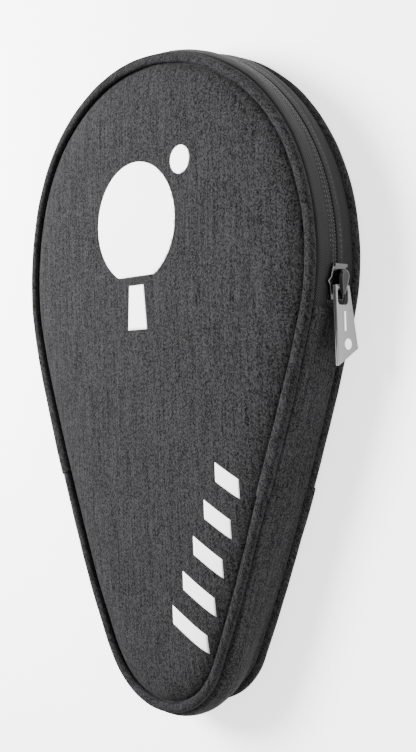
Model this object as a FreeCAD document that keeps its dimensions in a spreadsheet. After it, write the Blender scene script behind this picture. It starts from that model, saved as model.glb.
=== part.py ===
import FreeCAD, Part
import Sketcher
import math
import os

from FreeCAD import Placement, Rotation, Vector

# Zip-up case for one table-tennis bat, lying on its back panel.
# Origin: on the rest plane, at the middle of the outline.
# +Y towards the wide head, +Z out of the front panel, +X right as seen from the front.
# Two padded teardrop panels are joined by a gusset: zip tape around the head, fabric around the
# tip. A corded piping covers each seam. The head half of the front panel folds up as a lid.

DIMENSIONS = {
    # Outline, measured on the outside of the zip tape: head arc, side arcs, tip arc.
    "case_length": 294.4,
    "case_head_radius": 96.4,
    "case_side_radius": 1300.0,
    "case_tip_radius": 44.2,
    # Heights above the surface that the case lies on.
    "back_seam": 4.5,
    "zip_slit": 14.7,
    "front_seam": 25.5,
    # Panels: outer fabric, foam, lining.
    "panel_inset": 4.8,
    "panel_fabric": 1.0,
    "panel_foam": 3.4,
    "panel_lining": 0.6,
    # Piping: a cord inside a folded fabric cover. The tip cover overlaps the main one.
    "back_piping_proud": 2.0,
    "front_piping_proud": 0.2,
    "piping_high": 3.9,
    "piping_wall": 0.8,
    "piping_chamfer": 1.2,
    "piping_overlap": 0.4,
    "piping_joint": 94.4,
    # Gusset around the tip.
    "gusset_fabric": 0.6,
    "gusset_foam": 2.8,
    "gusset_lining": 0.6,
    # Zip: tapes, coils, inner seam bindings and end stops.
    "tape_thick": 0.8,
    "tape_tuck": 8.0,
    "tape_end": 22.0,
    "slit_half": 0.75,
    "coil_wide": 2.2,
    "coil_deep": 1.4,
    "binding_thick": 1.8,
    "binding_wide": 2.6,
    "stop_long": 2.0,
    "stop_wide": 6.0,
    "stop_thick": 0.8,
    "stop_angle": 13.4,
    # Fold line of the lid, below the centre of the head arc.
    "fold_drop": 4.5,
    "fold_gap": 0.4,
    # Slider, in its own frame: X outwards, Y along the zip, origin at the head arc's centre.
    "slider_angle": -7.6,
    "slider_half_long": 6.9,
    "slider_top_half": 3.7,
    "slider_shoulder": 1.8,
    "slider_shoulder_half": 4.6,
    "slider_wing": 0.2,
    "slider_wing_half": 6.3,
    "slider_waist": 1.5,
    "slider_waist_half": 4.8,
    "slider_foot_half": 3.6,
    "slider_clear": 0.35,
    "slider_under_clear": 0.7,
    "slider_plate": 1.15,
    "slider_under_plate": 1.1,
    "slider_under_half": 4.6,
    "slider_post_half": 0.4,
    "slider_post_long": 4.5,
    "slider_lip_long": 1.2,
    "slider_lip_high": 0.8,
    "slider_round": 0.35,
    # Cap over the pull tab's bar.
    "cap_length": 10.0,
    "cap_head_radius": 2.85,
    "cap_side_radius": 40.0,
    "cap_tip_radius": 1.4,
    "cap_high": 3.4,
    "cap_wall": 0.6,
    "cap_roof": 0.95,
    "cap_round": 1.3,
    "bar_slot_half": 1.1,
    "spring_thick": 0.3,
    "spring_half_wide": 0.8,
    "spring_long": 3.6,
    "spring_rise": 1.7,
    # Pull tab, in its own frame: origin at the middle of its bar.
    "pivot_high": 1.4,
    "pivot_back": 2.0,
    "bar_radius": 0.75,
    "tab_thick": 1.7,
    "tab_top": 0.85,
    "tab_top_half": 4.25,
    "tab_heel_long": 23.3,
    "tab_heel_wide": 9.0,
    "tab_toe_long": 29.6,
    "tab_toe_wide": 3.5,
    "tab_eye_long": 6.6,
    "tab_eye_half": 3.15,
    "tab_eye_round": 1.7,
    "tab_edge_round": 0.3,
    "tab_groove": 0.35,
    # Printed marks: a plain bat and ball, and slanting bars.
    "print_thick": 0.15,
    "blade_radius": 27.0,
    "blade_x": -3.0,
    "blade_cut": 24.0,
    "mark_gap": 2.0,
    "handle_long": 20.0,
    "handle_top_half": 5.0,
    "handle_foot_half": 6.6,
    "ball_x": 28.0,
    "ball_y": 95.0,
    "ball_radius": 6.0,
    "bar_count": 5.0,
    "bar_first_x": 25.0,
    "bar_first_y": -106.0,
    "bar_step_x": 6.3,
    "bar_step_y": 16.6,
    "bar_long": 22.0,
    "bar_shorten": 2.0,
    "bar_wide": 8.0,
    "bar_slant": 26.0,
    "tab_print_thick": 0.08,
    "tab_spot_radius": 2.1,
    "tab_spot_y": -21.5,
    "tab_spot_z": -2.4,
    "tab_line_half": 0.45,
    "tab_line_z": -0.9,
    "tab_line_low": -16.5,
    "tab_line_high": -9.0,
    "reach": 400.0,
}

ABOVE_HEAD_CENTRE = "(Dims.case_length / 2 - Dims.case_head_radius)"
EDGE_TOLERANCE = 1e-4
LEVEL_TOLERANCE = 0.01
SHORTEST_ROUNDED_EDGE = 1.2

doc = FreeCAD.newDocument("bat_case")
sheet = doc.addObject("Spreadsheet::Sheet", "Dims")
for row, (alias, number) in enumerate(DIMENSIONS.items(), start=1):
    sheet.set(f"A{row}", alias)
    sheet.set(f"B{row}", str(number))
    sheet.setAlias(f"B{row}", alias)
doc.recompute()

nodes = {}


def node(name, shape_object):
    """Names one physical piece; its label is its file name."""
    shape_object.Label = name
    nodes[name] = shape_object
    return shape_object


def signed(terms):
    """Splits 'wall -gap' into pairs of sign and alias."""
    return [(-1, t[1:]) if t.startswith("-") else (1, t) for t in terms.split()]


def formula(terms):
    """'wall -gap' as an expression on the sheet."""
    text = " ".join(("- " if s < 0 else "+ ") + f"Dims.{name}" for s, name in signed(terms))
    return f"(0 {text})"


def amount(terms):
    """The number that the same terms give."""
    return sum(s * DIMENSIONS[name] for s, name in signed(terms))


def new_body(name):
    return doc.addObject("PartDesign::Body", name)


def sketch_on(body, role, offset="0", turn=0):
    """An empty sketch on one of the body's origin planes, moved along the plane's normal."""
    sketch = body.newObject("Sketcher::SketchObject", f"{body.Name}_sketch")
    plane = next(f for f in body.Origin.OriginFeatures if f.Role == role)
    sketch.AttachmentSupport = (plane, [""])
    sketch.MapMode = "FlatFace"
    sketch.AttachmentOffset = Placement(Vector(), Rotation(Vector(0, 0, 1), turn))
    sketch.setExpression("AttachmentOffset.Base.z", offset)
    return sketch


def constrain(sketch, expression, *what):
    """Adds one dimension and binds it to the sheet."""
    index = sketch.addConstraint(Sketcher.Constraint(*what))
    sketch.setExpression(f"Constraints[{index}]", expression)


def teardrop(sketch, inset="", outline="case"):
    """A closed outline of four tangent arcs, kept a given distance inside the driving one."""
    length, head, side, tip = (
        f"{outline}_{part}" for part in ("length", "head_radius", "side_radius", "tip_radius")
    )
    in_by = amount(inset)
    half = amount(length) / 2
    head_y, tip_y = half - amount(head), amount(tip) - half
    to_head, to_tip = amount(side) - amount(head), amount(side) - amount(tip)
    span = head_y - tip_y
    along = (to_tip**2 - to_head**2 + span**2) / (2 * span)
    centre = Vector(-math.sqrt(to_tip**2 - along**2), tip_y + along, 0)
    top = math.atan2(head_y - centre.y, -centre.x)
    low = math.atan2(tip_y - centre.y, -centre.x)
    other = Vector(-centre.x, centre.y, 0)
    pi = math.pi
    arcs = [
        (centre, side, low, top),
        (Vector(0, head_y, 0), head, top, pi - top),
        (other, side, pi - top, pi - low),
        (Vector(0, tip_y, 0), tip, pi - low, 2 * pi + low),
    ]
    ids = []
    for middle, radius, start, end in arcs:
        circle = Part.Circle(middle, Vector(0, 0, 1), amount(radius) - in_by)
        ids.append(sketch.addGeometry(Part.ArcOfCircle(circle, start, end)))
    for this, following in zip(ids, ids[1:] + ids[:1]):
        sketch.addConstraint(Sketcher.Constraint("Tangent", this, 2, following, 1))
    for index, end_y, radius, sign in ((1, head_y, head, ""), (3, tip_y, tip, "-")):
        sketch.addConstraint(Sketcher.Constraint("PointOnObject", ids[index], 3, -2))
        place = f"{sign}(Dims.{length} / 2 - Dims.{radius})"
        constrain(sketch, place, "DistanceY", -1, 1, ids[index], 3, end_y)
    for index, (_, radius, _, _) in zip(ids, arcs):
        size = f"Dims.{radius} - {formula(inset)}"
        constrain(sketch, size, "Radius", index, amount(radius) - in_by)


def polygon(sketch, corners):
    """Straight sides through corners whose two coordinates are bound to the sheet."""
    count = len(corners)
    spots = [
        Vector(math.cos(2 * math.pi * i / count), math.sin(2 * math.pi * i / count), 0)
        for i in range(count)
    ]
    ids = [
        sketch.addGeometry(Part.LineSegment(a, b)) for a, b in zip(spots, spots[1:] + spots[:1])
    ]
    for i, (across, along) in enumerate(corners):
        sketch.addConstraint(Sketcher.Constraint("Coincident", ids[i - 1], 2, ids[i], 1))
        constrain(sketch, across, "DistanceX", -1, 1, ids[i], 1, spots[i].x)
        constrain(sketch, along, "DistanceY", -1, 1, ids[i], 1, spots[i].y)


def circle(sketch, across, along, radius):
    index = sketch.addGeometry(Part.Circle(Vector(1, 1, 0), Vector(0, 0, 1), 1))
    constrain(sketch, across, "DistanceX", -1, 1, index, 3, 1.0)
    constrain(sketch, along, "DistanceY", -1, 1, index, 3, 1.0)
    constrain(sketch, radius, "Radius", index, 1.0)


def pad(body, sketch, length, centred=False):
    feature = body.newObject("PartDesign::Pad", f"{body.Name}_pad")
    feature.Profile = sketch
    feature.setExpression("Length", length)
    feature.SideType = "Symmetric" if centred else "One side"
    doc.recompute()
    return feature


def pocket(body, sketch, length, centred=False, flip=False):
    """Cuts the sketch out of the body, and stops if nothing was cut away."""
    before = body.Shape.Volume
    feature = body.newObject("PartDesign::Pocket", f"{body.Name}_pocket")
    feature.Profile = sketch
    feature.setExpression("Length", length)
    feature.SideType = "Symmetric" if centred else "One side"
    feature.Reversed = flip
    doc.recompute()
    if body.Shape.Volume > before - EDGE_TOLERANCE:
        raise RuntimeError(f"{body.Name}: a pocket cut nothing")
    return feature


def dress_edges(body, size, wanted, kind="Fillet"):
    """Rounds or chamfers the edges of the body's last feature that the test picks."""
    base = body.Tip
    names = [f"Edge{i}" for i, edge in enumerate(base.Shape.Edges, start=1) if wanted(edge)]
    feature = body.newObject(f"PartDesign::{kind}", f"{body.Name}_{kind}")
    feature.Base = (base, names)
    feature.setExpression("Radius" if kind == "Fillet" else "Size", size)
    doc.recompute()
    return feature


def flat_in(axis, level=None):
    """Picks edges that lie in a plane across one axis, at a level if one is given."""

    def test(edge):
        box = edge.BoundBox
        low, high = getattr(box, f"{axis}Min"), getattr(box, f"{axis}Max")
        return high - low < EDGE_TOLERANCE and (level is None or abs(low - level) < LEVEL_TOLERANCE)

    return test


def layer(name, outer, inner, bottom, height):
    """A flat teardrop slab, or a teardrop ring if it has an inner outline."""
    body = new_body(name)
    sketch = sketch_on(body, "XY_Plane", bottom)
    teardrop(sketch, outer)
    if inner is not None:
        teardrop(sketch, inner)
    pad(body, sketch, height)
    return body


def window(name, low_x, high_x, low_y, high_y):
    """A tall block that keeps one region of a ring or slab."""
    block = doc.addObject("Part::Box", name)
    block.setExpression("Length", f"{high_x} - {low_x}")
    block.setExpression("Width", f"{high_y} - {low_y}")
    block.setExpression("Height", "Dims.reach")
    block.setExpression("Placement.Base.x", low_x)
    block.setExpression("Placement.Base.y", low_y)
    block.setExpression("Placement.Base.z", "-Dims.reach / 2")
    return block


def kept(name, blank, block):
    """The part of a blank that lies inside one window."""
    common = doc.addObject("Part::Common", name)
    common.Base, common.Tool = blank, block
    return node(name, common)


# Regions of the case: the lid, the base below the fold, and the zones at the zip's two ends.
FAR = "Dims.reach / 2"
FOLD = f"({ABOVE_HEAD_CENTRE} - Dims.fold_drop)"
TAPE_END = f"({ABOVE_HEAD_CENTRE} - Dims.tape_end)"
TUCK = f"({TAPE_END} - Dims.tape_tuck)"
JOINT = f"({ABOVE_HEAD_CENTRE} - Dims.piping_joint)"
LID_EDGE = f"({FOLD} + Dims.fold_gap / 2)"
BASE_EDGE = f"({FOLD} - Dims.fold_gap / 2)"

lid_half = window("lid_half", f"-{FAR}", FAR, LID_EDGE, FAR)
base_half = window("base_half", f"-{FAR}", FAR, f"-{FAR}", BASE_EDGE)
tip_zone = window("tip_zone", f"-{FAR}", FAR, f"-{FAR}", JOINT)
above_joint = window("above_joint", f"-{FAR}", FAR, JOINT, FAR)
below_tape = window("below_tape", f"-{FAR}", FAR, f"-{FAR}", TAPE_END)
below_tuck = window("below_tuck", f"-{FAR}", FAR, f"-{FAR}", TUCK)
above_tuck = window("above_tuck", f"-{FAR}", FAR, TUCK, FAR)
SIDES = {"right": ("0", FAR), "left": (f"-{FAR}", "0")}
end_zones = {
    side: window(f"end_zone_{side}", low, high, TUCK, BASE_EDGE)
    for side, (low, high) in SIDES.items()
}
side_zones = {
    side: window(f"side_zone_{side}", low, high, JOINT, BASE_EDGE)
    for side, (low, high) in SIDES.items()
}


def make_panels():
    """Fabric, foam and lining: one back panel, and a front one in two halves at the fold."""
    inset = "panel_inset"
    skin, foam, lining = "Dims.panel_fabric", "Dims.panel_foam", "Dims.panel_lining"
    node("back_panel_fabric", layer("back_fabric", inset, None, "0", skin))
    node("back_panel_foam", layer("back_foam", inset, None, skin, foam))
    node("back_panel_lining", layer("back_lining", inset, None, f"{skin} + {foam}", lining))
    levels = {
        "lining": ("Dims.front_seam", lining),
        "foam": (f"Dims.front_seam + {lining}", foam),
        "fabric": (f"Dims.front_seam + {lining} + {foam}", skin),
    }
    for what, (bottom, height) in levels.items():
        blank = layer(f"front_{what}", inset, None, bottom, height)
        kept(f"front_panel_{what}_lid", blank, lid_half)
        kept(f"front_panel_{what}_lower", blank, base_half)


def piping_ring(name, bottom, proud, overlap=""):
    """A bevelled fabric cover with the cord's channel inside it."""
    cover = layer(name, f"-{proud} {overlap}", "panel_inset", bottom, "Dims.piping_high")
    dress_edges(cover, "Dims.piping_chamfer", flat_in("Z"), "Chamfer")
    channel = sketch_on(cover, "XY_Plane", f"{bottom} + Dims.piping_wall")
    teardrop(channel, f"-{proud} piping_wall")
    teardrop(channel, "panel_inset -piping_wall")
    pocket(cover, channel, "Dims.piping_high - 2 * Dims.piping_wall", flip=True)
    return cover


def piping_cord(name, bottom, proud):
    """The cord that fills a cover's channel."""
    return layer(
        name,
        f"-{proud} piping_wall",
        "panel_inset -piping_wall",
        f"{bottom} + Dims.piping_wall",
        "Dims.piping_high - 2 * Dims.piping_wall",
    )


def make_piping():
    """Each piping has one cover around the head and a second one lapped over it at the tip."""
    back = ("(Dims.back_seam - Dims.piping_high)", "back_piping_proud")
    front = ("Dims.front_seam", "front_piping_proud")
    lap = "-piping_overlap"
    kept("back_piping_cover", piping_ring("back_cover", *back), above_joint)
    kept("back_piping_tip_cover", piping_ring("back_tip", *back, lap), tip_zone)
    node("back_piping_cord", piping_cord("back_cord", *back))
    cover = piping_ring("front_cover", *front)
    kept("front_piping_cover_lid", cover, lid_half)
    for side, zone in side_zones.items():
        kept(f"front_piping_cover_{side}", cover, zone)
    kept("front_piping_tip_cover", piping_ring("front_tip", *front, lap), tip_zone)
    cord = piping_cord("front_cord", *front)
    kept("front_piping_cord_lid", cord, lid_half)
    kept("front_piping_cord_lower", cord, base_half)


def make_gusset():
    """The padded side wall around the tip. Its fabric laps over the ends of the zip tapes."""
    tall = "Dims.front_seam - Dims.back_seam"
    low = "Dims.back_seam"
    kept("gusset_fabric", layer("side_fabric", "-gusset_fabric", "", low, tall), below_tape)
    kept("gusset_foam", layer("side_foam", "", "gusset_foam", low, tall), below_tuck)
    lining = layer("side_lining", "gusset_foam", "gusset_foam gusset_lining", low, tall)
    kept("gusset_lining", lining, below_tuck)


def zip_strip(name, inner, outer, bottom, height, lid):
    """One strip of the zip: whole on the back side, in three lengths on the front side."""
    blank = layer(name, outer, inner, bottom, height)
    if not lid:
        kept(f"back_{name.removeprefix('back_strip_')}", blank, above_tuck)
        return
    what = name.removeprefix("front_strip_")
    kept(f"front_{what}_lid", blank, lid_half)
    for side, zone in end_zones.items():
        kept(f"front_{what}_end_{side}", blank, zone)


def make_zip():
    """Tapes, the coils on their inner side, the bindings over the seams, and the end stops."""
    coil = "tape_thick coil_deep"
    binding = "tape_thick binding_thick"
    low_edge = "(Dims.zip_slit - Dims.slit_half)"
    high_edge = "(Dims.zip_slit + Dims.slit_half)"
    below = f"{low_edge} - Dims.back_seam"
    above = f"Dims.front_seam - {high_edge}"
    wide, tucked = "Dims.coil_wide", "Dims.binding_wide"
    rows = (
        ("zip_tape", "tape_thick", "", "Dims.back_seam", below, high_edge, above),
        ("zip_coil", coil, "tape_thick", f"{low_edge} - {wide}", wide, high_edge, wide),
        ("seam_binding", binding, "tape_thick", "Dims.back_seam", tucked,
         f"Dims.front_seam - {tucked}", tucked),
    )
    for what, inner, outer, back_z, back_high, front_z, front_high in rows:
        zip_strip(f"back_strip_{what}", inner, outer, back_z, back_high, lid=False)
        zip_strip(f"front_strip_{what}", inner, outer, front_z, front_high, lid=True)
    for side, angle in (("right", "-Dims.stop_angle"), ("left", "180 + Dims.stop_angle")):
        stop = new_body(f"stop_{side}")
        outline = sketch_on(stop, "YZ_Plane", f"Dims.case_head_radius - {formula(coil)}")
        ends = ("-Dims.stop_long / 2", "Dims.stop_long / 2")
        edges = ("-Dims.stop_wide / 2", "Dims.stop_wide / 2")
        polygon(outline, [(ends[i], edges[j]) for i, j in ((0, 0), (1, 0), (1, 1), (0, 1))])
        pad(stop, outline, "Dims.stop_thick").Reversed = True
        place_at_head(stop, angle)
        node(f"zip_stop_{side}", stop)


def place_at_head(body, angle):
    """Moves a body from the zip's own frame onto the case, at an angle around the head arc."""
    body.Placement = Placement(Vector(), Rotation(Vector(0, 0, 1), 1))
    body.setExpression("Placement.Base.y", ABOVE_HEAD_CENTRE)
    body.setExpression("Placement.Base.z", "Dims.zip_slit")
    body.setExpression("Placement.Rotation.Angle", angle)


def make_slider():
    """Two plates joined by a post between the tapes, and a domed cap over the pull tab's bar."""
    face = "(Dims.case_head_radius + Dims.slider_clear)"
    top = f"({face} + Dims.slider_plate)"
    under = f"(Dims.case_head_radius - {formula('tape_thick coil_deep')} - Dims.slider_under_clear)"
    long, foot = "Dims.slider_half_long", "-Dims.slider_half_long"
    right_side = [
        (long, "Dims.slider_top_half"),
        ("Dims.slider_shoulder", "Dims.slider_shoulder_half"),
        ("Dims.slider_wing", "Dims.slider_wing_half"),
        ("-Dims.slider_waist", "Dims.slider_waist_half"),
        (foot, "Dims.slider_foot_half"),
    ]
    shield = right_side + [(along, f"-{half}") for along, half in reversed(right_side)]
    body = new_body("slider_casting")
    plate = sketch_on(body, "YZ_Plane", face)
    polygon(plate, shield)
    pad(body, plate, "Dims.slider_plate")
    dress_edges(body, "Dims.slider_round", flat_in("X"))

    def block(offset, low, high, half, height):
        """A rectangular pad on the slider, from one place along the zip to another."""
        outline = sketch_on(body, "YZ_Plane", offset)
        corners = [(low, f"-{half}"), (high, f"-{half}"), (high, half), (low, half)]
        polygon(outline, corners)
        pad(body, outline, height)

    block(top, f"{long} - Dims.slider_lip_long", long, "Dims.slider_top_half",
          "Dims.slider_lip_high")
    block(under, foot, f"{foot} + Dims.slider_post_long", "Dims.slider_post_half",
          f"{face} - {under}")
    block(f"{under} - Dims.slider_under_plate", foot, long, "Dims.slider_under_half",
          "Dims.slider_under_plate")
    place_at_head(body, "Dims.slider_angle")
    node("slider_body", body)

    cap = new_body("slider_dome")
    dome = sketch_on(cap, "YZ_Plane", top, turn=-90)
    teardrop(dome, outline="cap")
    pad(cap, dome, "Dims.cap_high")
    crown = amount("case_head_radius slider_clear slider_plate cap_high")
    dress_edges(cap, "Dims.cap_round", flat_in("X", crown))
    hollow = sketch_on(cap, "YZ_Plane", top, turn=-90)
    teardrop(hollow, "cap_wall", outline="cap")
    pocket(cap, hollow, "Dims.cap_high - Dims.cap_roof", flip=True)
    slot = sketch_on(cap, "XY_Plane")
    roof = f"{top} + Dims.cap_high - Dims.cap_roof"
    ends = ("-Dims.pivot_back - Dims.bar_slot_half", "-Dims.pivot_back + Dims.bar_slot_half")
    polygon(slot, [(top, ends[0]), (roof, ends[0]), (roof, ends[1]), (top, ends[1])])
    pocket(cap, slot, "Dims.reach / 10", centred=True)
    place_at_head(cap, "Dims.slider_angle")
    node("slider_cap", cap)

    spring = new_body("slider_leaf")
    leaf = sketch_on(spring, "XY_Plane")
    thick, rise = "Dims.spring_thick", "Dims.spring_rise"
    far = "Dims.spring_long"
    corners = [
        (top, far),
        (f"{top} + {thick}", far),
        (f"{top} + {thick}", f"3 * {thick}"),
        (f"{top} + {rise}", f"2 * {thick}"),
        (f"{top} + {rise}", thick),
        (top, thick),
    ]
    polygon(leaf, corners)
    pad(spring, leaf, "2 * Dims.spring_half_wide", centred=True)
    place_at_head(spring, "Dims.slider_angle")
    node("slider_lock_spring", spring)
    return top


def tab_outline(sketch, inset):
    """The tab's slanting outline, open at the top where its bar runs between two arms."""
    by = f"Dims.{inset}" if inset else "0"
    top, half = f"Dims.tab_top - {by}", f"Dims.tab_top_half - {by}"
    eye, eye_half = f"-Dims.tab_eye_long - {by}", f"Dims.tab_eye_half + {by}"
    corners = [
        (top, f"-({half})"),
        (f"-Dims.tab_heel_long + {by} / 2", f"-Dims.tab_heel_wide + {by}"),
        (f"-Dims.tab_toe_long + 2 * {by}", f"Dims.tab_toe_wide - {by}"),
        (top, half),
        (top, eye_half),
        (eye, eye_half),
        (eye, f"-({eye_half})"),
        (top, f"-({eye_half})"),
    ]
    polygon(sketch, corners)


def place_at_pivot(body, top):
    """Hangs a body from the slider's bar, straight down the case."""
    high = f"({top} + Dims.pivot_high)"
    angle = "Dims.slider_angle * 1 deg"
    body.setExpression("Placement.Base.x", f"{high} * cos({angle}) + Dims.pivot_back * sin({angle})")
    body.setExpression(
        "Placement.Base.y",
        f"{ABOVE_HEAD_CENTRE} + {high} * sin({angle}) - Dims.pivot_back * cos({angle})",
    )
    body.setExpression("Placement.Base.z", "Dims.zip_slit")


def make_pull_tab(top):
    """A flat tab of two plates on a narrower core, with a round bar between its arms."""
    body = new_body("tab_plate")
    plate = "(Dims.tab_thick - Dims.tab_groove) / 2"
    core = sketch_on(body, "YZ_Plane", "-Dims.tab_groove / 2")
    tab_outline(core, "tab_groove")
    pad(body, core, "Dims.tab_groove")
    for bottom in ("Dims.tab_groove / 2", f"-Dims.tab_groove / 2 - {plate}"):
        outline = sketch_on(body, "YZ_Plane", bottom)
        tab_outline(outline, "")
        pad(body, outline, plate)
    bar = sketch_on(body, "XY_Plane")
    circle(bar, "0", "0", "Dims.bar_radius")
    pad(body, bar, "Dims.tab_top_half + Dims.tab_eye_half", centred=True)
    faces = [amount("tab_thick") / 2 * sign for sign in (-1, 1)]

    def corner(edge):
        """Short edges through the thickness, at the eye's closed end."""
        box = edge.BoundBox
        through = box.XLength > LEVEL_TOLERANCE and box.YLength + box.ZLength < EDGE_TOLERANCE
        return through and abs(box.YMin + amount("tab_eye_long")) < LEVEL_TOLERANCE

    dress_edges(body, "Dims.tab_eye_round", corner)

    def face_edge(edge):
        """Edges around the two outer faces, apart from the very short ones."""
        on_face = any(flat_in("X", face)(edge) for face in faces)
        return on_face and edge.Length > SHORTEST_ROUNDED_EDGE

    dress_edges(body, "Dims.tab_edge_round", face_edge)
    place_at_pivot(body, top)
    node("pull_tab", body)


def slanting_bars(sketch):
    """A row of bars that lean one way and shorten towards the end of the row."""
    lean = "Dims.bar_slant * 1 deg"
    for i in range(int(DIMENSIONS["bar_count"])):
        x = f"Dims.bar_first_x + {i} * Dims.bar_step_x"
        y = f"Dims.bar_first_y + {i} * Dims.bar_step_y"
        half = f"(Dims.bar_long - {i} * Dims.bar_shorten) / 2"
        corners = []
        for sx, sy in ((-1, -1), (1, -1), (1, 1), (-1, 1)):
            corners.append(
                (
                    f"{x} + ({sx}) * {half} * cos({lean})",
                    f"{y} - ({sx}) * {half} * sin({lean}) + ({sy}) * Dims.bar_wide / 2",
                )
            )
        polygon(sketch, corners)


def make_prints(top):
    """Thin printed marks on the front panel and on the pull tab."""
    face = f"(Dims.front_seam + {formula('panel_lining panel_foam panel_fabric')})"
    thick = "Dims.print_thick"

    def printed(name, draw):
        body = new_body(f"{name}_ink")
        sketch = sketch_on(body, "XY_Plane", face)
        draw(sketch)
        pad(body, sketch, thick)
        return node(name, body)

    blade_y = f"({FOLD} + Dims.mark_gap + Dims.blade_cut)"
    disc = new_body("blade_disc")
    disc_sketch = sketch_on(disc, "XY_Plane", face)
    circle(disc_sketch, "Dims.blade_x", blade_y, "Dims.blade_radius")
    pad(disc, disc_sketch, thick)
    blade_zone = window("blade_zone", f"-{FAR}", FAR, f"({FOLD} + Dims.mark_gap)", FAR)
    kept("print_blade", disc, blade_zone)

    neck = f"{FOLD} - Dims.mark_gap"
    foot = f"{neck} - Dims.handle_long"
    printed(
        "print_handle",
        lambda sketch: polygon(
            sketch,
            [
                ("Dims.blade_x - Dims.handle_top_half", neck),
                ("Dims.blade_x - Dims.handle_foot_half", foot),
                ("Dims.blade_x + Dims.handle_foot_half", foot),
                ("Dims.blade_x + Dims.handle_top_half", neck),
            ],
        ),
    )
    printed(
        "print_ball", lambda sketch: circle(sketch, "Dims.ball_x", "Dims.ball_y", "Dims.ball_radius")
    )
    printed("print_bars", slanting_bars)

    tab_ink = new_body("tab_ink")
    sketch = sketch_on(tab_ink, "YZ_Plane", "Dims.tab_thick / 2")
    circle(sketch, "Dims.tab_spot_y", "Dims.tab_spot_z", "Dims.tab_spot_radius")
    ends = ("Dims.tab_line_low", "Dims.tab_line_high")
    sides = [f"Dims.tab_line_z {sign} Dims.tab_line_half" for sign in "-+"]
    polygon(sketch, [(ends[i], sides[j]) for i, j in ((0, 0), (1, 0), (1, 1), (0, 1))])
    pad(tab_ink, sketch, "Dims.tab_print_thick")
    place_at_pivot(tab_ink, top)
    node("pull_tab_print", tab_ink)


def export():
    """Checks every object of the document, then writes one STEP file per piece."""
    doc.recompute()
    for item in doc.Objects:
        if any(word in item.State for word in ("Invalid", "Error")):
            raise RuntimeError(f"{item.Name} failed: {item.State}")
    os.makedirs("parts", exist_ok=True)
    for name, item in nodes.items():
        if item.Shape.isNull() or not item.Shape.isValid() or not item.Shape.Solids:
            raise RuntimeError(f"{name} has no valid solid")
        item.Shape.exportStep(f"parts/{name}.step")


make_panels()
make_piping()
make_gusset()
make_zip()
plate_top = make_slider()
make_pull_tab(plate_top)
make_prints(plate_top)
export()
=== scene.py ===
"""Looks of a zip-up table-tennis bat case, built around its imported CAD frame.

Frame: metres. The case lies on its back panel at z = 0, with +Y towards the wide head and +Z out of
the front panel.
The soft goods are swept along one outline of four tangent arcs; `inset` is the distance inside it.
"""

import math
import random

import bmesh
import bpy
import numpy as np
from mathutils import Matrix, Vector
from mathutils.bvhtree import BVHTree


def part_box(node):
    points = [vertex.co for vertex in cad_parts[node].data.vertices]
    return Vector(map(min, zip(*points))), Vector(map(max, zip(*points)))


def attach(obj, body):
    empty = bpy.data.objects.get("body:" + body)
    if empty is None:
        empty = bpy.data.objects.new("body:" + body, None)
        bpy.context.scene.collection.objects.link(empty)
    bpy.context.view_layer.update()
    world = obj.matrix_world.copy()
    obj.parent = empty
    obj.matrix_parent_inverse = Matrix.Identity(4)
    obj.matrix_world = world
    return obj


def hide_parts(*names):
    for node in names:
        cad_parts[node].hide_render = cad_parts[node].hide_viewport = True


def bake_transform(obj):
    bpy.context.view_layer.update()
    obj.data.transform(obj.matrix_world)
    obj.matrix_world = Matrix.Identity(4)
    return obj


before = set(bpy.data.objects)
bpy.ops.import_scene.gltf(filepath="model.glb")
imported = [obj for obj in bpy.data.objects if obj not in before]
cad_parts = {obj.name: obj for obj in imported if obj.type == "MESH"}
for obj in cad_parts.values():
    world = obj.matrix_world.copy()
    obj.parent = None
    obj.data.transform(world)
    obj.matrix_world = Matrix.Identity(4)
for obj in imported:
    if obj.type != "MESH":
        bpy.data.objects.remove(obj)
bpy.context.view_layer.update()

MM = 0.001

# ---------------------------------------------------------------- sizes, from the frame

_, tape_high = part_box("back_zip_tape")
_, piping_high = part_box("front_piping_cover_lid")
_, back_piping_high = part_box("back_piping_cover")
gusset_low, gusset_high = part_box("gusset_fabric")
_, panel_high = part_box("front_panel_fabric_lower")
lid_low, lid_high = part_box("front_panel_fabric_lid")
front_lining_low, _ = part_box("front_panel_lining_lower")
_, back_lining_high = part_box("back_panel_lining")
front_tape_low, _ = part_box("front_zip_tape_lid")
_, tip_cover_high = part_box("front_piping_tip_cover")

HEAD_RADIUS = tape_high.x
TIP_RADIUS = 44.2 * MM
SIDE_RADIUS = 1300 * MM
HEAD_Y = tape_high.y - HEAD_RADIUS
TIP_Y = -(HEAD_Y + HEAD_RADIUS) + TIP_RADIUS

BACK_SEAM = gusset_low.z
FRONT_SEAM = gusset_high.z
SLIT_Z = (tape_high.z + front_tape_low.z) / 2
FRONT_PROUD = piping_high.x - HEAD_RADIUS
BACK_PROUD = back_piping_high.x - HEAD_RADIUS
PANEL_INSET = HEAD_RADIUS - lid_high.x
TAPE_END_Y = gusset_high.y
PIPING_JOINT_Y = tip_cover_high.y
GUSSET_PROUD = 0.6 * MM

CROWN = 0.9 * MM


# ---------------------------------------------------------------- the outline


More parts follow.
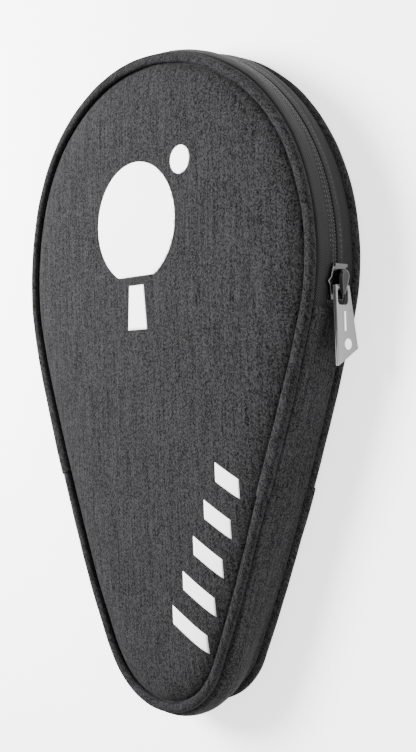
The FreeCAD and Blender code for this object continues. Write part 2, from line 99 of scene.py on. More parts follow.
class Outline:
    """Four tangent arcs. `s` runs from the tip's end up the right side, round the head and back."""

    def __init__(self):
        to_head, to_tip = SIDE_RADIUS - HEAD_RADIUS, SIDE_RADIUS - TIP_RADIUS
        span = HEAD_Y - TIP_Y
        along = (to_tip**2 - to_head**2 + span**2) / (2 * span)
        self.cx, self.cy = -math.sqrt(to_tip**2 - along**2), TIP_Y + along
        self.top = math.atan2(HEAD_Y - self.cy, -self.cx)
        self.low = math.atan2(TIP_Y - self.cy, -self.cx)
        pi = math.pi
        self.arcs = [
            (0.0, TIP_Y, TIP_RADIUS, -pi / 2, self.low),
            (self.cx, self.cy, SIDE_RADIUS, self.low, self.top),
            (0.0, HEAD_Y, HEAD_RADIUS, self.top, pi - self.top),
            (-self.cx, self.cy, SIDE_RADIUS, pi - self.top, pi - self.low),
            (0.0, TIP_Y, TIP_RADIUS, pi - self.low, 1.5 * pi),
        ]
        self.ends = np.cumsum([r * (b - a) for _, _, r, a, b in self.arcs])
        self.length = float(self.ends[-1])

    def at(self, s, inset=0.0):
        """Points and outward normals at places s, moved inside the outline by inset."""
        s = np.mod(np.asarray(s, float), self.length)
        inset = np.broadcast_to(np.asarray(inset, float), s.shape)
        which = np.minimum(np.searchsorted(self.ends, s, side="right"), 4)
        starts = np.concatenate([[0.0], self.ends[:-1]])
        arcs = np.array(self.arcs)[which]
        angle = arcs[:, 3] + (s - starts[which]) / arcs[:, 2]
        normal = np.stack([np.cos(angle), np.sin(angle)], 1)
        return arcs[:, :2] + normal * (arcs[:, 2] - inset)[:, None], normal

    def depth(self, s):
        """Distance from the outline to the case's long axis, along the normal."""
        s = np.mod(np.asarray(s, float), self.length)
        _, normal = self.at(s)
        which = np.minimum(np.searchsorted(self.ends, s, side="right"), 4)
        sides = (which == 1) | (which == 3)
        radius = np.where(which == 2, HEAD_RADIUS, TIP_RADIUS)
        return np.where(sides, SIDE_RADIUS + self.cx / np.maximum(abs(normal[:, 0]), 0.2), radius)

    def s_at(self, y):
        """The place on the right side where the outline passes height y."""
        s = np.linspace(0, self.length / 2, 4000)
        return float(np.interp(y, self.at(s)[0][:, 1], s))

    def inside(self, x, y):
        """How far a point lies inside the outline."""
        x = np.abs(x)
        angle = np.arctan2(y - self.cy, x - self.cx)
        side = SIDE_RADIUS - np.hypot(x - self.cx, y - self.cy)
        head = HEAD_RADIUS - np.hypot(x, y - HEAD_Y)
        tip = TIP_RADIUS - np.hypot(x, y - TIP_Y)
        return np.where(angle > self.top, head, np.where(angle < self.low, tip, side))


case = Outline()
S_TAPE = case.s_at(TAPE_END_Y)
S_JOINT = case.s_at(PIPING_JOINT_Y)


def smooth(x):
    """A soft step from 0 to 1."""
    x = np.clip(x, 0.0, 1.0)
    return x * x * (3 - 2 * x)


# Stretches where the front seam is pulled in by its stuffing or, below 0, let out. In mm: the
# stretch's middle along the outline, its half length, and how far the seam moves at the middle.
PULLS = (
    (0, 55, -1.4),
    (130, 60, 1.0),
    (350, 80, 1.9),
    (520, 70, 3.0),
    (720, 30, 1.6),
)


def lean(s):
    """How far inside the outline the front seam lies at places s."""
    total = np.zeros_like(np.asarray(s, float))
    for middle, reach, amount in PULLS:
        away = np.abs(np.mod(s - middle * MM + case.length / 2, case.length) - case.length / 2)
        total += amount * MM * smooth(1 - away / (reach * MM))
    return total


def wall_lean(s, z):
    """The lean of the side wall: none up to the slit, all of it at the front seam."""
    return lean(s)[:, None] * smooth((z - SLIT_Z) / (FRONT_SEAM - SLIT_Z))


def waves(s, seed, scale, octaves=4):
    """A smooth random curve around the closed outline, about -1 to 1."""
    rng = random.Random(seed)
    total = np.zeros_like(s, float)
    for k in range(octaves):
        turns = max(1, round(case.length / scale * (1.0 + 0.73 * k)))
        total += np.sin(2 * math.pi * (turns * s / case.length + rng.random())) / (1 + 0.5 * k)
    return total / 2.2


# ---------------------------------------------------------------- mesh building


def mesh_object(name, points, faces, uvs=None, shade=True):
    """A mesh with one 'cloth' UV map in metres, given per face corner."""
    mesh = bpy.data.meshes.new(name)
    mesh.from_pydata([tuple(p) for p in points], [], faces)
    if uvs is not None:
        layer = mesh.uv_layers.new(name="cloth")
        layer.data.foreach_set("uv", np.asarray(uvs, np.float32).ravel())
    mesh.validate()
    mesh.update()
    obj = bpy.data.objects.new(name, mesh)
    bpy.context.scene.collection.objects.link(obj)
    if shade:
        mesh.polygons.foreach_set("use_smooth", [True] * len(mesh.polygons))
    return obj


def outward(obj):
    """Turns every face to look out of its closed shell."""
    bm = bmesh.new()
    bm.from_mesh(obj.data)
    bmesh.ops.recalc_face_normals(bm, faces=bm.faces)
    bm.to_mesh(obj.data)
    bm.free()
    return obj


def sweep(name, places, section, closed=False):
    """Sweeps a closed section along the outline. section(s) gives rows of (inset, z) per place."""
    rows = section(places)
    count, around = rows.shape[0], rows.shape[1]
    points = np.zeros((count, around, 3))
    for j in range(around):
        spot, _ = case.at(places, rows[:, j, 0])
        points[:, j, :2] = spot
        points[:, j, 2] = rows[:, j, 1]
    steps = np.linalg.norm(np.diff(rows[0], axis=0, append=rows[0, :1]), axis=1)
    across = np.concatenate([[0.0], np.cumsum(steps)])
    last = count if closed else count - 1
    gap = case.length / count
    faces, uvs = [], []
    for i in range(last):
        k = (i + 1) % count
        along = (places[i], places[i] + gap if closed and k == 0 else places[k])
        for j in range(around):
            m = (j + 1) % around
            faces.append((i * around + j, k * around + j, k * around + m, i * around + m))
            uvs += [
                (along[0], across[j]),
                (along[1], across[j]),
                (along[1], across[j + 1]),
                (along[0], across[j + 1]),
            ]
    if not closed:
        for i in (0, count - 1):
            ring = [i * around + j for j in range(around)]
            faces.append(tuple(ring))
            uvs += [(places[i], across[j]) for j in range(around)]
    return outward(mesh_object(name, points.reshape(-1, 3), faces, uvs))


def places(start, stop, spacing):
    return np.linspace(start, stop, max(2, int(round((stop - start) / spacing)) + 1))


def ring_places(spacing):
    count = int(round(case.length / spacing))
    return np.arange(count) * case.length / count


def oval(count, power=2.3):
    """Unit points around a slightly squared oval."""
    angle = np.arange(count) * 2 * math.pi / count
    c, s = np.cos(angle), np.sin(angle)
    return np.sign(c) * abs(c) ** (2 / power), np.sign(s) * abs(s) ** (2 / power)


RIM_SHARES = (0, 0.008, 0.016, 0.025, 0.036, 0.048)


def disc(name, rim, height, leaning=False, spacing=2.0 * MM, rings=34):
    """A sheet that fills the outline from the rim to the long axis, at height(x, y, inset).

    Its rings lie close together near the rim, and RIM_SHARES are the closest ones.
    """
    s = ring_places(spacing)
    count = len(s)
    depth = case.depth(s)
    shift = lean(s) if leaning else np.zeros(count)
    shares = 1 - (1 - np.linspace(0, 1, rings + 1)) ** 1.6
    shares = np.concatenate([RIM_SHARES, shares[shares > 0.06]])
    points, inset = [], []
    for share in shares:
        here = rim + share * (depth - rim)
        spot, _ = case.at(s, here + shift * (1 - share))
        points.append(spot)
        inset.append(here)
    flat = np.concatenate(points)
    z = height(flat[:, 0], flat[:, 1], np.concatenate(inset))
    points = np.column_stack([flat, z])
    faces = [
        (k * count + i, k * count + (i + 1) % count, (k + 1) * count + (i + 1) % count,
         (k + 1) * count + i)
        for k in range(len(shares) - 1)
        for i in range(count)
    ]
    obj = mesh_object(name, points, faces)
    bm = bmesh.new()
    bm.from_mesh(obj.data)
    bmesh.ops.remove_doubles(bm, verts=bm.verts, dist=0.25 * MM)
    bm.to_mesh(obj.data)
    bm.free()
    flat_uv(obj)
    return obj


def flat_uv(obj):
    """UVs straight from x and y, in metres."""
    mesh = obj.data
    layer = mesh.uv_layers.get("cloth") or mesh.uv_layers.new(name="cloth")
    for loop in mesh.loops:
        co = mesh.vertices[loop.vertex_index].co
        layer.data[loop.index].uv = (co.x, co.y)
    mesh.polygons.foreach_set("use_smooth", [True] * len(mesh.polygons))


def thicken(obj, thickness, offset):
    """Gives a sheet real thickness and applies it."""
    modifier = obj.modifiers.new("thickness", "SOLIDIFY")
    modifier.thickness = thickness
    modifier.offset = offset
    apply_modifiers(obj)
    return obj


def apply_modifiers(obj):
    graph = bpy.context.evaluated_depsgraph_get()
    mesh = bpy.data.meshes.new_from_object(obj.evaluated_get(graph))
    obj.modifiers.clear()
    old, obj.data = obj.data, mesh
    mesh.name = old.name
    return obj


def join(name, objects):
    """Joins loose bits of one kind into one piece."""
    bm = bmesh.new()
    bm.loops.layers.uv.new("cloth")
    for obj in objects:
        bm.from_mesh(obj.data)
        bpy.data.objects.remove(obj)
    mesh = bpy.data.meshes.new(name)
    bm.to_mesh(mesh)
    bm.free()
    obj = bpy.data.objects.new(name, mesh)
    bpy.context.scene.collection.objects.link(obj)
    return obj


# ---------------------------------------------------------------- materials


class Paint:
    """A node material built a few nodes at a time around one Principled shader."""

    def __init__(self, name, **sockets):
        self.material = bpy.data.materials.new(name)
        self.material.use_nodes = True
        self.tree = self.material.node_tree
        self.shader = self.tree.nodes["Principled BSDF"]
        for key, value in sockets.items():
            self.shader.inputs[key.replace("_", " ")].default_value = value

    def node(self, kind, inputs=(), **settings):
        made = self.tree.nodes.new(kind)
        for key, value in settings.items():
            setattr(made, key, value)
        for key, value in dict(inputs).items():
            self.put(made.inputs[key], value)
        return made

    def put(self, socket, value):
        if isinstance(value, bpy.types.NodeSocket):
            self.tree.links.new(value, socket)
        else:
            socket.default_value = value

    def math(self, operation, a, b=0.0):
        return self.node("ShaderNodeMath", {0: a, 1: b}, operation=operation).outputs[0]

    def cloth(self, angle=0.0):
        """The piece's cloth coordinates in metres, turned by an angle, as two values."""
        coordinates = self.node("ShaderNodeUVMap", uv_map="cloth").outputs[0]
        turned = self.node("ShaderNodeVectorRotate", {"Vector": coordinates, "Angle": angle},
                           rotation_type="Z_AXIS").outputs[0]
        parts = self.node("ShaderNodeSeparateXYZ", {0: turned})
        return parts.outputs[0], parts.outputs[1]

    def point(self):
        return self.node("ShaderNodeTexCoord").outputs["Object"]

    def noise(self, x, y=None, scale=1.0, detail=2.0, roughness=0.5):
        """Smooth noise, 0 to 1, from two values or from one vector."""
        vector = x if y is None else self.node("ShaderNodeCombineXYZ", {0: x, 1: y}).outputs[0]
        return self.node(
            "ShaderNodeTexNoise",
            {"Vector": vector, "Scale": scale, "Detail": detail, "Roughness": roughness},
        ).outputs[0]

    def grain(self, u, v, wide, long, detail=2.0):
        """Noise whose grains are about wide by long, in metres."""
        return self.noise(self.math("DIVIDE", u, wide), self.math("DIVIDE", v, long),
                          detail=detail)

    def total(self, *parts):
        """The sum of (value, share) pairs."""
        scaled = [self.math("MULTIPLY", value, share) for value, share in parts]
        result = scaled[0]
        for term in scaled[1:]:
            result = self.math("ADD", result, term)
        return result

    def spread(self, value, low, high):
        """Stretches low..high to 0..1, clamped."""
        return self.node("ShaderNodeMapRange", {0: value, 1: low, 2: high}).outputs[0]

    def mix(self, share, a, b):
        made = self.node("ShaderNodeMix", data_type="RGBA")
        self.put(made.inputs[0], share)
        self.put(made.inputs[6], a)
        self.put(made.inputs[7], b)
        return made.outputs[2]

    def colour(self, value):
        self.put(self.shader.inputs["Base Color"], value)

    def rough(self, value):
        self.put(self.shader.inputs["Roughness"], value)

    def bump(self, height, distance, strength=1.0):
        made = self.node(
            "ShaderNodeBump", {"Height": height, "Distance": distance, "Strength": strength}
        )
        self.put(self.shader.inputs["Normal"], made.outputs[0])


def grey(value, warm=0.0, cool=0.0):
    return (value * (1 + warm), value, value * (1 + cool), 1.0)


def woven(paint, u, v, pitch, streak):
    """Yarn lightness (0 to 1) and height (0 to 1) of a plain weave with mottled yarns."""
    a, b = paint.math("DIVIDE", u, pitch), paint.math("DIVIDE", v, pitch)
    warp, weft = paint.math("FLOOR", a), paint.math("FLOOR", b)
    turn = paint.math("MODULO", paint.math("ADD", warp, weft), 2.0)
    over = paint.math("ABSOLUTE", turn)
    along_warp = paint.noise(
        paint.math("MULTIPLY", warp, 7.13), paint.math("DIVIDE", v, streak), detail=3.0)
    along_weft = paint.noise(
        paint.math("DIVIDE", u, streak * 0.7), paint.math("MULTIPLY", weft, 9.31), detail=3.0)
    shade = paint.node("ShaderNodeMix", {2: along_weft, 3: along_warp}, data_type="FLOAT")
    paint.put(shade.inputs[0], over)
    across = paint.math("ABSOLUTE", paint.math("SINE", paint.math("MULTIPLY", a, math.pi)))
    down = paint.math("ABSOLUTE", paint.math("SINE", paint.math("MULTIPLY", b, math.pi)))
    return shade.outputs[0], paint.math("MULTIPLY", across, down)


def melange(name, angle, dark, light, pitch=0.44 * MM, sheen=0.02):
    """Heathered polyester: dark and light yarns in a plain weave, with long streaks and painted
    shade in the gaps between the yarns.
    """
    paint = Paint(name, Roughness=0.9, Sheen_Weight=sheen, Sheen_Roughness=0.4,
                  Specular_IOR_Level=0.05)
    u, v = paint.cloth(angle)
    shade, height = woven(paint, u, v, pitch, 4 * MM)
    streaks = paint.grain(u, v, 0.5 * MM, 3.4 * MM)
    warp = paint.math("FLOOR", paint.math("DIVIDE", u, pitch))
    weft = paint.math("FLOOR", paint.math("DIVIDE", v, pitch * 1.25))
    crossing = paint.node("ShaderNodeCombineXYZ", {0: warp, 1: weft}).outputs[0]
    specks = paint.node("ShaderNodeTexWhiteNoise", {"Vector": crossing}).outputs[0]
    cloud = paint.grain(u, v, 5 * MM, 30 * MM)
    long_yarns = paint.spread(paint.grain(u, v, 1.1 * MM, 26 * MM, detail=1.0), 0.30, 0.70)
    tone = paint.total((shade, 0.16), (streaks, 0.24), (specks, 0.38), (cloud, 0.08),
                       (long_yarns, 0.14))
    share = paint.spread(tone, 0.28, 0.78)
    # Painted shade: the colour darkens where the weave's height is low, in the gaps between the
    # yarns.
    gap_shade = paint.math("MULTIPLY", paint.spread(height, 0.0, 0.6), share)
    paint.colour(paint.mix(paint.total((share, 0.6), (gap_shade, 0.4)), dark, light))
    fuzz = paint.grain(u, v, 0.2 * MM, 0.2 * MM)
    relief = paint.math("ADD", height, paint.math("MULTIPLY", fuzz, 0.4))
    relief = paint.math("ADD", relief, paint.math("MULTIPLY", streaks, 0.8))
    paint.bump(relief, 0.16 * MM, 0.6)
    return paint.material


def twill(name, dark, light, column=3.1 * MM, pitch=1.0 * MM, yarn_pitch=0.42 * MM):
    """Zip tape: herringbone twill whose columns run along the tape."""
    paint = Paint(name, Roughness=0.8, Sheen_Weight=0.04, Sheen_Roughness=0.5,
                  Specular_IOR_Level=0.08)
    u, v = paint.cloth()
    band = paint.math("PINGPONG", v, column)
    rib = paint.math("SINE", paint.math(
        "MULTIPLY", paint.math("ADD", u, band), 2 * math.pi / pitch))
    rib = paint.spread(rib, -1.0, 1.0)
    yarn = paint.math("SINE", paint.math("MULTIPLY", u, 2 * math.pi / yarn_pitch))
    yarn = paint.spread(yarn, -1.0, 1.0)
    specks = paint.grain(u, v, 0.5 * MM, 0.35 * MM)
    cloud = paint.grain(u, v, 20 * MM, 5 * MM)
    tone = paint.total((rib, 0.62), (specks, 0.30), (cloud, 0.15), (yarn, 0.08))
    paint.colour(paint.mix(paint.spread(tone, 0.36, 0.98), dark, light))
    paint.bump(paint.math("ADD", rib, paint.math("MULTIPLY", yarn, 0.3)), 0.12 * MM, 0.8)
    return paint.material


def plain_cloth(name, dark, light, pitch, roughness=0.6, rib=0.0):
    """Fine plain cloth, or ribbed ribbon where rib is above 0."""
    paint = Paint(name, Roughness=roughness, Sheen_Weight=0.05, Specular_IOR_Level=0.25)
    u, v = paint.cloth()
    shade, height = woven(paint, u, v, pitch, 12 * MM)
    cloud = paint.grain(u, v, 30 * MM, 30 * MM)
    tone = paint.total((shade, 0.6), (cloud, 0.4))
    paint.colour(paint.mix(paint.spread(tone, 0.25, 0.8), dark, light))
    if rib:
        ribs = paint.math("SINE", paint.math("MULTIPLY", u, 2 * math.pi / rib))
        height = paint.math("ADD", height, ribs)
    paint.bump(height, pitch * 0.3, 0.6)
    return paint.material


def metal(name, colour, worn, roughness, grain, worn_share=0.1, metallic=1.0):
    """Plated or painted zinc with fine handling marks."""
    paint = Paint(name, Metallic=metallic)
    spot = paint.point()
    scratches = paint.noise(spot, scale=grain, detail=6.0, roughness=0.7)
    marks = paint.noise(spot, scale=grain * 0.22, detail=3.0)
    paint.colour(paint.mix(
        paint.math("MULTIPLY", paint.spread(scratches, 0.5, 0.75), worn_share), colour, worn))
    paint.rough(paint.math("ADD", roughness, paint.math("MULTIPLY", marks, roughness * 0.6)))
    paint.bump(scratches, 0.02 * MM, 0.5)
    return paint.material


def ink(name, value):
    """Screen-printed white ink that takes the weave under it."""
    paint = Paint(name, Roughness=0.5)
    u, v = paint.cloth()
    _, height = woven(paint, u, v, 0.46 * MM, 5 * MM)
    wear = paint.grain(u, v, 0.8 * MM, 0.8 * MM, detail=4.0)
    paint.colour(paint.mix(
        paint.spread(wear, 0.35, 0.75), grey(value), grey(value * 0.93, cool=0.01)))
    paint.rough(paint.spread(wear, -0.4, 1.4))
    paint.bump(height, 0.05 * MM, 0.35)
    return paint.material


def nylon(name, colour, light, roughness, scale):
    """Moulded or drawn nylon: coil wire and thread."""
    paint = Paint(name, Roughness=roughness)
    spot = paint.point()
    tone = paint.noise(spot, scale=scale, detail=3.0)
    paint.colour(paint.mix(paint.spread(tone, 0.35, 0.7), colour, light))
    paint.bump(paint.noise(spot, scale=scale * 3, detail=2.0), 0.02 * MM, 0.4)
    return paint.material


PANEL_CLOTH = melange("panel_cloth", 0.0, grey(0.001, 0.03, 0.06), grey(0.042, 0.02, 0.05))
GUSSET_CLOTH = melange("gusset_cloth", math.pi / 2, grey(0.001, 0.03, 0.06),
                       grey(0.044, 0.02, 0.05))
BIAS = math.radians(52)
PIPING_CLOTH = melange("piping_cloth", BIAS, grey(0.001, 0.03, 0.05), grey(0.041, 0.02, 0.05),
                       pitch=0.4 * MM, sheen=0.0)
# Painted light: the back piping takes a lighter copy of the piping cloth, brightened to make up for
# the shade it lies in.
BACK_PIPING_PAINTED_LIGHT_CLOTH = melange("back_piping_painted_light_cloth", BIAS, grey(0.002, 0.03, 0.05),
                            grey(0.060, 0.02, 0.05), pitch=0.4 * MM, sheen=0.0)
TAPE_CLOTH = twill("tape_cloth", grey(0.001), grey(0.026))
LINING_CLOTH = plain_cloth("lining_cloth", grey(0.005), grey(0.014), 0.3 * MM, 0.55)
BINDING_CLOTH = plain_cloth("binding_cloth", grey(0.006), grey(0.019), 0.35 * MM, 0.7, 0.9 * MM)
# The coil's grey is partly its own nylon colour and partly painted highlight, lightened to stand
# for the glints of the coil seen in the slit.
COIL_NYLON_AND_GLINT = nylon("coil_nylon_and_glint", grey(0.06), grey(0.15), 0.28, 900)
THREAD_NYLON = nylon("thread_nylon", grey(0.03), grey(0.075), 0.5, 1500)
SLIDER_METAL = metal("slider_plating", grey(0.085), grey(0.26), 0.16, 900)
CAP_METAL = metal("cap_plating", grey(0.028), grey(0.16), 0.12, 900)
TAB_METAL = metal("tab_plating", grey(0.165), grey(0.27), 0.36, 1400, 0.35, metallic=0.4)
STEEL = metal("bright_steel", grey(0.35), grey(0.5), 0.2, 1200)
WHITE_INK = ink("white_ink", 0.94)


# ---------------------------------------------------------------- placing pieces


def finish_piece(obj, paint, replaced=(), lid=False):
    """Material, slot and replaced nodes; the piece joins the case's body, or, as a lid piece, gets
    its placing baked into its mesh.
    """
    obj.data.materials.clear()
    obj.data.materials.append(paint)
    if lid:
        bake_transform(obj)
    else:
        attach(obj, "case")
    if replaced:
        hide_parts(*replaced)
    return obj


# ---------------------------------------------------------------- padded panels

DOWN = Vector((0, 0, -1))
HIGH_ABOVE = 0.1


def height_on(surface, x, y):
    """Height of a surface's uppermost point over x, y, or None beside it."""
    hit = surface.ray_cast(Vector((x, y, HIGH_ABOVE)), DOWN)[0]
    return None if hit is None else hit.z


PANEL_TOP = panel_high.z
PANEL_RIM = PANEL_INSET - 0.8 * MM
ROLL = 3.6 * MM
SHOULDER = 4.6 * MM
SEAM_DROP = 4.3 * MM
GROOVE = 1.6 * MM
GROOVE_WIDE = 1.3 * MM
PAD_RIM = 7 * MM
PAD_GRAIN = 5 * MM
PAD_HELD_RIM = 10 * MM
PAD_HELD_BELOW = 2.5 * MM
PAD_FRAMES = 20
PAD_MOST = 8 * MM
PAD_SHARE = 0.45
CROWN_REACH = 15 * MM


def level(z):
    return lambda x, y, inset: np.full_like(x, z)


def simulated_pad():
    """A cloth pad, held round its rim and on its back and blown up a little.

    Returns its surface and the height of its highest point.
    """
    pad = disc("pad", PAD_RIM, level(0.0), spacing=PAD_GRAIN, rings=14)
    thicken(pad, PAD_GRAIN, -1)
    remesh = pad.modifiers.new("remesh", "REMESH")
    remesh.mode = "VOXEL"
    remesh.voxel_size = PAD_GRAIN
    apply_modifiers(pad)
    rest = np.array([v.co for v in pad.data.vertices])
    held = pad.vertex_groups.new(name="held")
    edge = case.inside(rest[:, 0], rest[:, 1]) < PAD_HELD_RIM
    fixed = edge | (rest[:, 2] < -PAD_HELD_BELOW)
    held.add([int(i) for i in np.flatnonzero(fixed)], 1.0, "REPLACE")
    cloth = pad.modifiers.new("cloth", "CLOTH")
    cloth.settings.use_pressure = True
    cloth.settings.uniform_pressure_force = 4.0
    cloth.settings.vertex_group_mass = "held"
    cloth.settings.effector_weights.gravity = 0
    cloth.settings.tension_stiffness = 25
    cloth.settings.bending_stiffness = 3
    cloth.settings.quality = 5
    for frame_number in range(1, PAD_FRAMES + 1):
        bpy.context.scene.frame_set(frame_number)
    apply_modifiers(pad)
    bpy.context.scene.frame_set(1)
    moved = np.array([v.co for v in pad.data.vertices])
    step = moved - rest
    length = np.linalg.norm(step, axis=1, keepdims=True)
    moved = rest + step * np.minimum(1, PAD_MOST / np.maximum(length, 1e-9))
    pad.data.vertices.foreach_set("co", moved.ravel())
    smoothing = pad.modifiers.new("smooth", "SUBSURF")
    smoothing.levels = 1
    apply_modifiers(pad)
    graph = bpy.context.evaluated_depsgraph_get()
    surface = BVHTree.FromObject(pad, graph)
    highest = max(v.co.z for v in pad.data.vertices)
    bpy.data.objects.remove(pad)
    return surface, highest


def crown_of(inset):
    """How far the padding lifts the panel, 0 to 1, steep near the rim and level in the middle."""
    return 1 - np.exp(-np.maximum(inset - PANEL_RIM - ROLL, 0) / CROWN_REACH)


pad_lift = simulated_pad()


def padding(x, y, inset):
    """The panel's lift: a crowned pad, with the simulated cloth's own unevenness in it."""
    lift = crown_of(inset)
    if pad_lift is None:
        return lift
    surface, highest = pad_lift
    found = np.zeros(len(x))
    for i in range(len(x)):
        height = height_on(surface, x[i], y[i])
        found[i] = 0.0 if height is None else height / highest
    return (1 - PAD_SHARE) * lift + PAD_SHARE * np.maximum(found, 0)


def pad_piece(name, rim, outer, inner, leaning=False):
    """A closed pad between two height functions."""
    obj = disc(name, rim, outer, leaning)
    count = len(obj.data.vertices)
    thicken(obj, 0.5 * MM, -1)
    co = np.array([v.co for v in obj.data.vertices])
    co[count:, :2] = co[:count, :2]
    co[count:, 2] = inner(co[:count, 0], co[:count, 1], case.inside(co[:count, 0], co[:count, 1]))
    obj.data.vertices.foreach_set("co", co.ravel())
    flat_uv(obj)
    return outward(obj)


def front_height(x, y, inset):
    shoulder = np.exp(-(inset - PANEL_RIM) / SHOULDER)
    groove = np.exp(-(inset - PANEL_RIM) / GROOVE_WIDE)
    sunk = SEAM_DROP * shoulder + GROOVE * groove
    return PANEL_TOP - sunk + CROWN * padding(x, y, inset)


LINING_GAP = 0.1 * MM
LINING_THICK = 0.6 * MM
front_panel = pad_piece("front_panel", PANEL_RIM, front_height,
                        level(front_lining_low.z + LINING_THICK + LINING_GAP), leaning=True)
finish_piece(front_panel, PANEL_CLOTH, lid=True, replaced=(
    "front_panel_fabric_lid", "front_panel_fabric_lower",
    "front_panel_foam_lid", "front_panel_foam_lower"))


LINING_FULL = 0.5 * MM
LINING_FULL_REACH = 12 * MM


def lining_puff(inset):
    """A lining's slight fullness between its sewn edge and the middle."""
    return LINING_FULL * smooth((inset - PANEL_RIM) / LINING_FULL_REACH)


front_lining = pad_piece(
    "front_lining", PANEL_RIM,
    level(front_lining_low.z + LINING_THICK),
    lambda x, y, inset: front_lining_low.z - lining_puff(inset), leaning=True)
finish_piece(front_lining, LINING_CLOTH, lid=True, replaced=(
    "front_panel_lining_lid", "front_panel_lining_lower"))


BACK_ROLL_HIGH = 2.4 * MM


def back_height(x, y, inset):
    """The back panel lies flat and rolls up at its rim."""
    t = np.clip((inset - PANEL_RIM) / ROLL, 0, 1)
    return BACK_ROLL_HIGH * (1 - np.sqrt(1 - (1 - t) ** 2.2))


back_panel = pad_piece("back_panel", PANEL_RIM, back_height,
                       level(back_lining_high.z - LINING_THICK - LINING_GAP))
finish_piece(back_panel, PANEL_CLOTH, replaced=(
    "back_panel_fabric", "back_panel_foam"))

back_lining = pad_piece(
    "back_lining", PANEL_RIM,
    level(back_lining_high.z - LINING_THICK),
    lambda x, y, inset: back_lining_high.z + lining_puff(inset))
finish_piece(back_lining, LINING_CLOTH, replaced=("back_panel_lining",))


# ---------------------------------------------------------------- piping

PIPING_HALF_HIGH = (piping_high.z - FRONT_SEAM) / 2
FRONT_PIPING_Z = FRONT_SEAM + PIPING_HALF_HIGH
BACK_PIPING_Z = BACK_SEAM - PIPING_HALF_HIGH
BACK_LAP = 0.67 * MM
FRONT_LAP = 0.75 * MM
FRONT_SLIM = 0.35 * MM
TIP_WRINKLES = 0.10 * MM
WRINKLE_LENGTH = 2.7 * MM
TIP_REACH = 95 * MM
PIPING_LUMPS = 0.10 * MM
LUMP_LENGTH = 46 * MM
LAP_ROLL = 0.55 * MM
LAP_UNDER = 4 * MM
PIPING_LOWEST = 0.03 * MM


def piping_section(front, seed, grow):
    """An oval cord under cloth. grow(s) adds to its size where the cover is doubled."""
    proud = FRONT_PROUD if front else BACK_PROUD
    middle = (PANEL_INSET - proud) / 2
    half = (PANEL_INSET + proud) / 2 - (FRONT_SLIM if front else 0)
    z = FRONT_PIPING_Z if front else BACK_PIPING_Z

    def section(s):
        c, n = oval(22)
        extra = grow(s)[:, None]
        lumps = PIPING_LUMPS * waves(s, seed, LUMP_LENGTH)[:, None]
        near_tip = np.minimum(s % case.length, case.length - s % case.length)
        tight = smooth(1.25 - near_tip / TIP_REACH)
        wrinkles = (TIP_WRINKLES * tight * waves(s, seed + 5, WRINKLE_LENGTH, 3))[:, None]
        folds = wrinkles * (0.6 - 0.4 * c)
        size = extra + lumps + folds
        shift = lean(s)[:, None] if front else 0.0
        inset = middle + shift - (half + size) * c
        high = z + (PIPING_HALF_HIGH + size * 0.5) * n
        return np.stack([inset, np.maximum(high, PIPING_LOWEST)], axis=2)

    return section


def lapped(start, stop, lap, fade, reach):
    """Growth of a cover that laps over its neighbour at both ends, with a rolled edge."""

    def grow(s):
        edge = np.minimum(s - start, stop - s)
        rolled = np.sqrt(np.clip(edge / LAP_ROLL, 0, 1))
        return lap * rolled * (1 - fade * smooth(edge / reach))

    return grow


def none(s):
    return np.zeros_like(s)


def with_fine_ends(start, stop, spacing):
    edge = np.array([0.0, 0.03, 0.1, 0.2, 0.34, 0.55, 0.8]) * MM
    return np.concatenate([start + edge, places(start + 1.2 * MM, stop - 1.2 * MM, spacing),
                           (stop - edge)[::-1]])


TIP_START, TIP_STOP = -S_JOINT, S_JOINT
UPPER_START, UPPER_STOP = S_JOINT - 3 * MM, case.length - S_JOINT + 3 * MM

front_upper = lapped(UPPER_START, UPPER_STOP, FRONT_LAP, 1.0, 110 * MM)
front_piping = sweep("front_piping", with_fine_ends(UPPER_START, UPPER_STOP, 1.2 * MM),
                     piping_section(True, 11, front_upper))
finish_piece(front_piping, PIPING_CLOTH, lid=True, replaced=(
    "front_piping_cover_lid", "front_piping_cover_left", "front_piping_cover_right",
    "front_piping_cord_lid", "front_piping_cord_lower"))
front_tip = sweep("front_piping_tip",
                  places(TIP_START - LAP_UNDER, TIP_STOP + LAP_UNDER, 0.7 * MM),
                  piping_section(True, 11, none))
finish_piece(front_tip, PIPING_CLOTH, replaced=("front_piping_tip_cover",))

# The back piping and its tip cover wear the lightened cloth, which is painted light.
back_piping = sweep("back_piping",
                    places(TIP_STOP - LAP_UNDER, case.length - TIP_STOP + LAP_UNDER, 1.2 * MM),
                    piping_section(False, 12, none))
finish_piece(back_piping, BACK_PIPING_PAINTED_LIGHT_CLOTH, replaced=(
    "back_piping_cover", "back_piping_cord"))
back_lap = lapped(TIP_START, TIP_STOP, BACK_LAP, 0.4, 26 * MM)
back_tip = sweep("back_piping_tip", with_fine_ends(TIP_START, TIP_STOP, 0.7 * MM),
                 piping_section(False, 12, back_lap))
finish_piece(back_tip, BACK_PIPING_PAINTED_LIGHT_CLOTH, replaced=("back_piping_tip_cover",))


# The wall stands up against the front piping and turns in sharply there, which leaves a dark line.
SEAM_RISE = 0.95 * MM
CREASE = 3.0 * MM
CREASE_WIDE = 1.3 * MM


# ---------------------------------------------------------------- gusset

